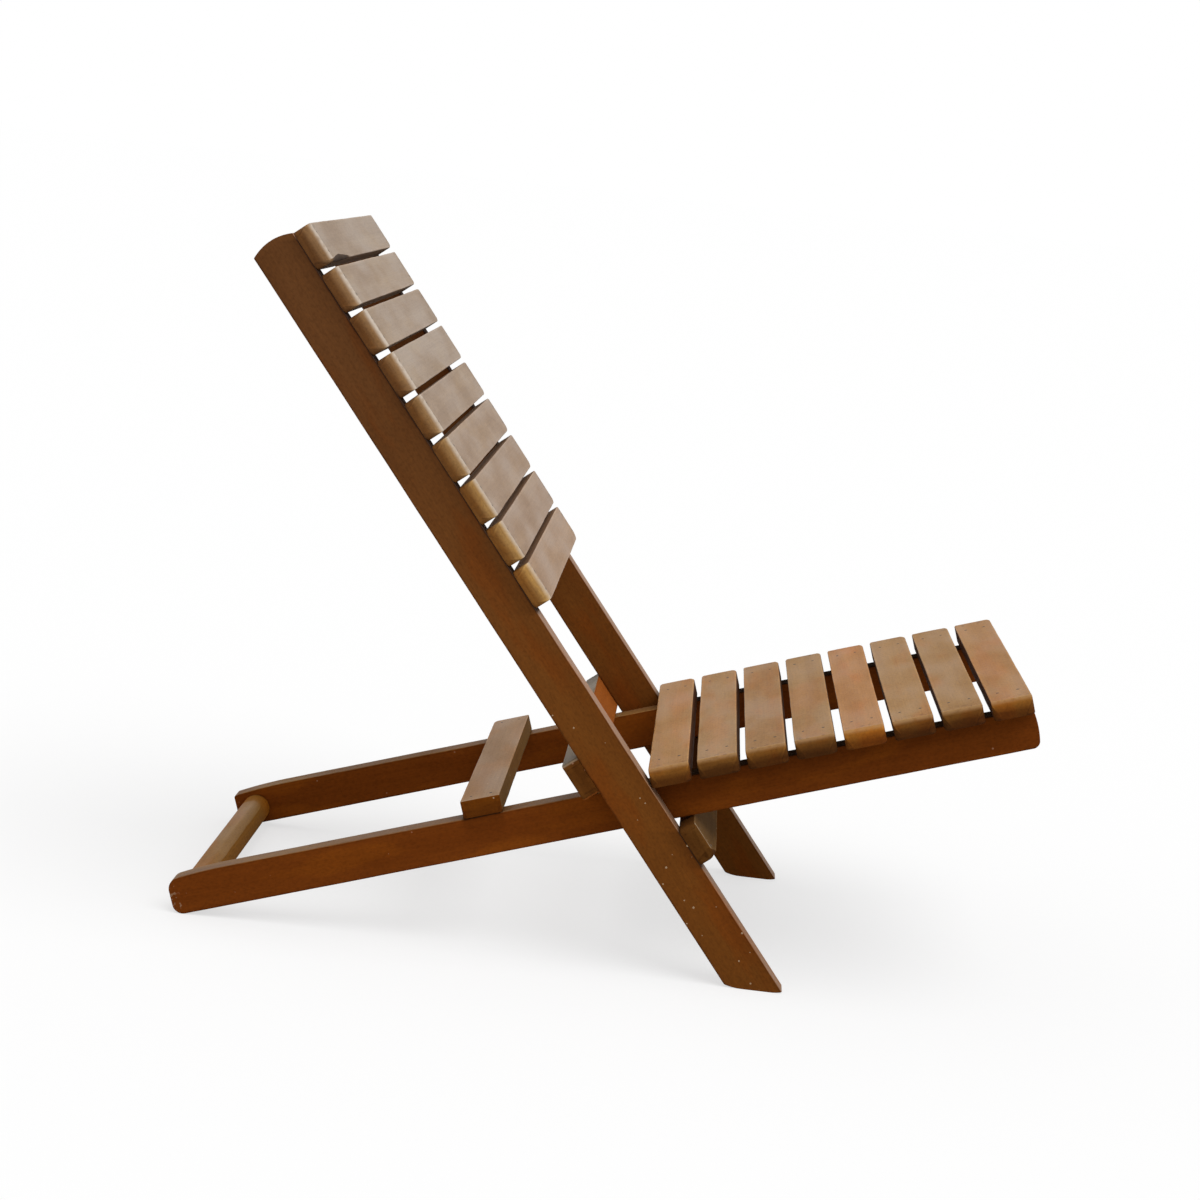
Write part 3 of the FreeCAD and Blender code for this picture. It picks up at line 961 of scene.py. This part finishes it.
def wood(
    name, face, side, patch, end_high=None, end_low=None, worn=None,
    warm=None, warm_end=None, gloss=0.06, varnish=(0.38, 0.54),
):
    """A wood, from the colours of its weathered face, its other sides and its ends.

    The ends go from end_high at the top to end_low, a painted shade darker towards the bottom, and worn
    is the colour of the creases, rubbed pale with a painted highlight.
    Where these aren't given, they are as the sides. patch tints the places where the varnish
    has kept or lost its colour. warm and warm_end tint the boards that are warmer than the
    others. varnish is its least and most roughness on the weathered face.
    """
    s = Wood(name)
    colour = s.bare(face, side, end_high or side, end_low or side, warm, warm_end)
    colour = s.toned(s.aged(colour, patch))
    colour = s.soiled_and_shaded(s.rubbed_and_highlighted(colour, worn or side))
    marks, paint = s.paint_marks()
    colour = s.blend(s.times(marks, PAINT_COVER), colour, paint)
    return s.varnished(colour, marks, gloss, varnish)


def back_slat_wood():
    """Greyish brown with honey-coloured ends, warmer on the lower slats."""
    return wood(
        "back_slat_wood",
        face=(0.288, 0.2, 0.131),
        side=(0.18, 0.108, 0.062),
        end_high=(0.3, 0.175, 0.08),
        end_low=(0.14, 0.054, 0.012),
        worn=(0.6, 0.51, 0.42),
        patch=(1.02, 0.98, 0.86),
        warm=(1.16, 1.02, 0.88),
        warm_end=(1.75, 1.8, 1.3),
        gloss=0.2,
    )


def stile_wood():
    """Red-brown sides and a paler front edge."""
    return wood(
        "stile_wood",
        face=(0.33, 0.19, 0.115),
        side=(0.185, 0.06, 0.009),
        patch=(1.1, 0.86, 0.6),
    )


def front_bar_wood():
    """Dark brown and matt."""
    return wood(
        "front_bar_wood",
        face=(0.19, 0.1, 0.035),
        side=(0.12, 0.045, 0.01),
        end_high=(0.15, 0.06, 0.013),
        end_low=(0.12, 0.044, 0.009),
        worn=(0.4, 0.3, 0.19),
        patch=(1.4, 1.35, 1.2),
        gloss=0.02,
        varnish=(0.8, 0.9),
    )


def rear_bar_wood():
    """Orange brown, with a greyer upper edge."""
    return wood(
        "rear_bar_wood",
        face=(0.2, 0.15, 0.1),
        side=(0.36, 0.1, 0.015),
        end_high=(0.17, 0.06, 0.01),
        end_low=(0.14, 0.045, 0.006),
        worn=(0.3, 0.2, 0.12),
        patch=(0.7, 0.7, 0.7),
    )


def seat_slat_wood():
    """Golden brown with dark sides, redder on a few slats."""
    return wood(
        "seat_slat_wood",
        face=(0.335, 0.174, 0.05),
        side=(0.08, 0.03, 0.01),
        end_high=(0.195, 0.08, 0.013),
        end_low=(0.078, 0.025, 0.003),
        worn=(0.5, 0.31, 0.15),
        patch=(1.08, 0.86, 0.52),
        warm=(1.12, 0.95, 0.82),
        warm_end=(1.9, 1.8, 1.4),
        gloss=0.1,
    )


def stop_slat_wood():
    """Pale brown on top, with red-brown ends."""
    return wood(
        "stop_slat_wood",
        face=(0.42, 0.25, 0.13),
        side=(0.205, 0.105, 0.03),
        end_high=(0.19, 0.052, 0.003),
        end_low=(0.15, 0.04, 0.003),
        worn=(0.45, 0.3, 0.17),
        patch=(1.05, 0.9, 0.7),
    )


def rail_wood():
    """Deep red-brown sides and a browner top edge."""
    return wood(
        "rail_wood",
        face=(0.2, 0.096, 0.036),
        side=(0.18, 0.043, 0.005),
        patch=(1.3, 1.38, 1.1),
        gloss=0.03,
    )


def handle_wood():
    """Brown where it is worn, orange near the rails."""
    return wood(
        "handle_wood",
        face=(0.32, 0.165, 0.045),
        side=(0.27, 0.115, 0.02),
        end_high=(0.42, 0.14, 0.01),
        end_low=(0.42, 0.14, 0.01),
        worn=(0.32, 0.165, 0.045),
        patch=(1.05, 0.85, 0.6),
    )


def nail_metal(name, colour):
    """Dull steel, with rust and old varnish on it."""
    s = Shader(name)
    surface = s.node("ShaderNodeBsdfPrincipled", Base_Color=(*colour, 1), Roughness=0.6, Metallic=0.4)
    return s.finish(surface.outputs[0])


def add_back_slats():
    material = back_slat_wood()
    for index, node in enumerate(BACK_SLATS):
        kind = ChippedSlat if index == 0 else Slat
        slat = kind(node, BACK_FRONT, index + 1, BACK_CORNERS, BACK_FAR_RUN, BACK_FAR_SHORT)
        slat.warmth = max(0.0, (index - BACK_WARM_FROM) / BACK_WARM_SLATS)
        slat.rubbed_and_highlighted = 1 - BACK_RUBBED_AND_HIGHLIGHTED_FALL * abs(index - BACK_MOST_RUBBED_AND_HIGHLIGHTED)
        add_board(slat, "back_frame", material)


def add_stiles():
    material = stile_wood()
    add_board(Stile("back_stile_left", 41, 0.0), "back_frame", material)
    add_board(Stile("back_stile_right", 42, NEAR_STILE_SPECKS), "back_frame", material)


def add_cross_bars():
    front = KnockedBar("front_cross_bar", BACK_FRONT, 31, BAR_CORNER)
    add_board(front, "back_frame", front_bar_wood())
    rear = Bar("rear_cross_bar", -BACK_FRONT, 32, BAR_CORNER, PALE_LOW_EDGE)
    add_board(rear, "back_frame", rear_bar_wood())


def add_back_nails():
    material = nail_metal("weathered_nails", (0.1, 0.07, 0.048))
    low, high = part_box("back_stile_left")
    stile_x = (low.x + high.x) / 2
    bars = {"front_cross_bar": BACK_FRONT, "rear_cross_bar": -BACK_FRONT}
    slats = dict.fromkeys(BACK_SLATS, BACK_FRONT)
    add_nails("back_slat_nails", "back_frame", slats, stile_x, material)
    add_nails("cross_bar_nails", "back_frame", bars, stile_x, material)


def add_seat_slats():
    material = seat_slat_wood()
    for index, node in enumerate(SEAT_SLATS):
        slat = Slat(node, SEAT_UP, index + 21, SEAT_CORNERS, SEAT_FAR_RUN)
        slat.warmth = SEAT_WARMTH.get(node, 0.0)
        slat.rubbed_and_highlighted = SEAT_RUBBED_AND_HIGHLIGHTED
        add_board(slat, "seat_frame", material)


def add_stop_slat():
    stop = Bar("stop_slat", SEAT_UP, 33, STOP_CORNER)
    stop.corners["end_high"] = STOP_FAR_CORNER
    add_board(stop, "seat_frame", stop_slat_wood())


def add_rails():
    material = rail_wood()
    far = Rail("seat_rail_left", 51, FAR_TIP_RADIUS, FAR_TAIL_SPECKS)
    add_board(far, "seat_frame", material)
    near = Rail("seat_rail_right", 52, NEAR_TIP_RADIUS, NEAR_TAIL_SPECKS)
    add_board(near, "seat_frame", material)


def add_seat_nails():
    material = nail_metal("rusty_nails", (0.02, 0.013, 0.009))
    rail_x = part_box("seat_rail_left")[0].x + NAIL_TO_RAIL_FACE
    slats = dict.fromkeys(SEAT_SLATS, SEAT_UP)
    add_nails("seat_slat_nails", "seat_frame", slats, rail_x, material)
    add_nails("stop_slat_nails", "seat_frame", {"stop_slat": SEAT_UP}, rail_x, material)


def make_floor():
    """A pale floor that the camera sees as nearly white, with the chair's shadow on it."""
    corners = [(-1, -1, 0), (1, -1, 0), (1, 1, 0), (-1, 1, 0)]
    mesh = bpy.data.meshes.new("floor")
    mesh.from_pydata([Vector(corner) * FLOOR_REACH for corner in corners], [], [(0, 1, 2, 3)])
    floor = bpy.data.objects.new("floor", mesh)
    bpy.context.scene.collection.objects.link(floor)
    s = Shader("floor")
    seen = s.node("ShaderNodeLightPath").outputs["Is Camera Ray"]
    colour = s.blend(seen, FLOOR_COLOUR, SHOWN_FLOOR_COLOUR)
    lit = s.node("ShaderNodeBsdfPrincipled", Base_Color=colour, Roughness=0.9, Specular_IOR_Level=0.0)
    white = s.node("ShaderNodeEmission", Color=WHITE, Strength=1.0)
    look = s.node("ShaderNodeMixShader", Fac=s.times(seen, SHOWN_FLOOR_GLOW))
    s.fill(look.inputs[1], lit.outputs[0])
    s.fill(look.inputs[2], white.outputs[0])
    mesh.materials.append(s.finish(look.outputs[0]))


def make_world():
    """A white world, plain white to the camera and in reflections, and weaker as a light."""
    world = bpy.data.worlds.new("studio")
    bpy.context.scene.world = world
    world.use_nodes = True
    tree = world.node_tree
    tree.nodes.clear()
    rays = tree.nodes.new("ShaderNodeLightPath")
    shown = tree.nodes.new("ShaderNodeMath")
    shown.operation = "MAXIMUM"
    tree.links.new(rays.outputs["Is Camera Ray"], shown.inputs[0])
    tree.links.new(rays.outputs["Is Glossy Ray"], shown.inputs[1])
    strength = tree.nodes.new("ShaderNodeMapRange")
    tree.links.new(shown.outputs[0], strength.inputs["Value"])
    strength.inputs["To Min"].default_value = WORLD_STRENGTH
    strength.inputs["To Max"].default_value = SHOWN_WORLD_STRENGTH
    background = tree.nodes.new("ShaderNodeBackground")
    background.inputs["Color"].default_value = WHITE
    tree.links.new(strength.outputs["Result"], background.inputs["Strength"])
    output = tree.nodes.new("ShaderNodeOutputWorld")
    tree.links.new(background.outputs[0], output.inputs[0])


def make_lamp():
    """One very soft lamp from above."""
    lamp = bpy.data.lights.new("key", "SUN")
    lamp.energy = LAMP_STRENGTH
    lamp.angle = LAMP_SPREAD
    key = bpy.data.objects.new("key", lamp)
    bpy.context.scene.collection.objects.link(key)
    key.rotation_euler = LIGHT_DIRECTION.to_track_quat("-Z", "Y").to_euler()


def make_camera():
    heading = math.radians(CAMERA_HEADING)
    pitch = math.radians(CAMERA_PITCH)
    ahead = Vector((math.cos(heading), math.sin(heading), 0)) * math.cos(pitch)
    forward = ahead + Vector((0, 0, math.sin(pitch)))
    level = forward.cross(Vector((0, 0, 1))).normalized()
    right = Matrix.Rotation(math.radians(CAMERA_ROLL), 3, forward) @ level
    up = right.cross(forward)
    data = bpy.data.cameras.new("camera")
    data.sensor_width = SENSOR
    data.lens = SENSOR * CAMERA_FOCAL_PIXELS / PICTURE_PIXELS
    camera = bpy.data.objects.new("camera", data)
    bpy.context.scene.collection.objects.link(camera)
    turn = Matrix((right, up, -forward)).transposed().to_4x4()
    camera.matrix_world = Matrix.Translation(CAMERA_PLACE) @ turn
    bpy.context.scene.camera = camera


add_back_slats()
add_stiles()
add_cross_bars()
add_back_nails()
add_seat_slats()
add_stop_slat()
add_rails()
add_handle(handle_wood())
add_seat_nails()
make_floor()
make_world()
make_lamp()
make_camera()
bpy.context.scene.view_settings.view_transform = "Standard"
